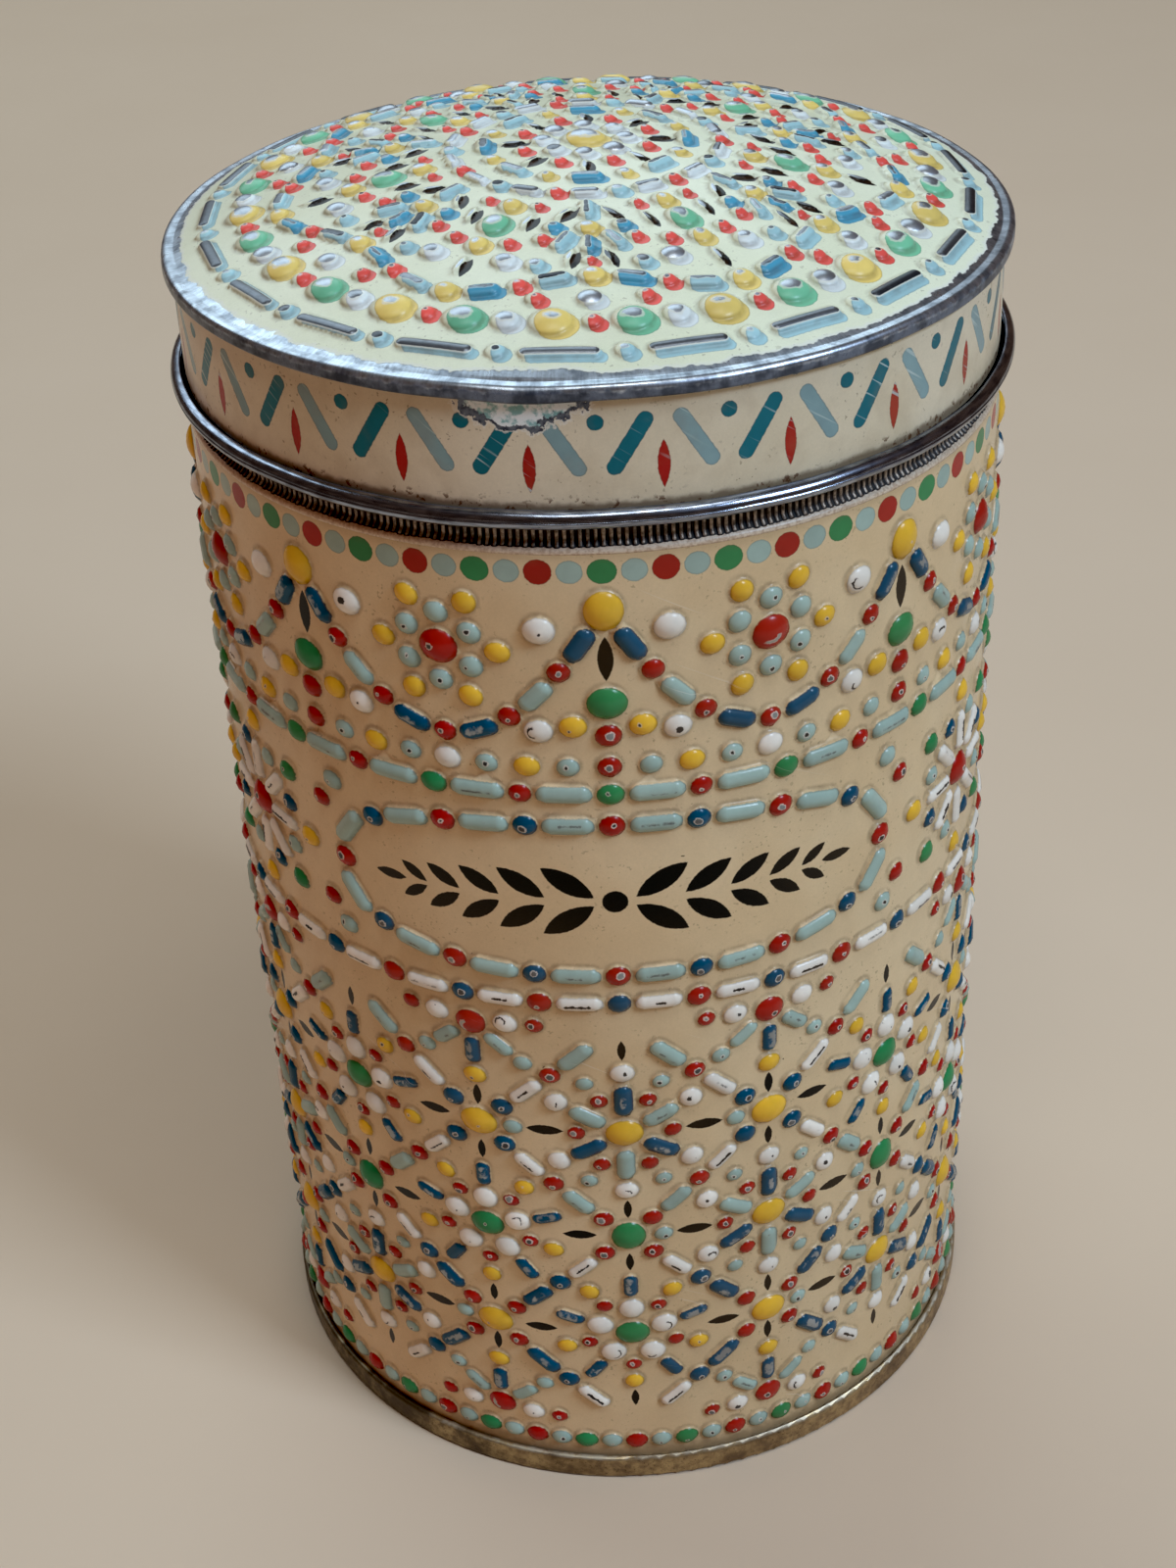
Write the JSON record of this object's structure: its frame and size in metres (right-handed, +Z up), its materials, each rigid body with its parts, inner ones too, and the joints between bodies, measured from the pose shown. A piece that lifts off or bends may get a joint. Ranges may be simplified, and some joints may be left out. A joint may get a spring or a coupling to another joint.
{
  "type": "tea caddy",
  "caption": "Round tinplate tea caddy: cylindrical body with embossed bead decoration on cream, drawn-in neck, seamed base, and a domed slip-on lid with a rolled curl that lifts straight off.",
  "frame": {"origin": "centre of the base on the table plane", "axes": "+Z up along the tin's axis, -Y is the front with the oval panel, +Y the back with the side seam"},
  "size_m": [0.092, 0.092, 0.1557],
  "materials": {
    "printed_tin": "glossy printed lacquer over tinplate, worn at the edges",
    "bare_tin": "bare tinplate, browned with age"
  },
  "bodies": {
    "caddy": {"body_wall": "printed_tin", "base_disc": "bare_tin"},
    "lid": {"lid_skirt": "printed_tin", "lid_dome": "printed_tin"}
  },
  "joints": [
    {"name": "lid_lift", "type": "slide", "parent": "caddy", "child": "lid", "axis": [0, 0, 1], "range_m": [0, 0.05]}
  ]
}
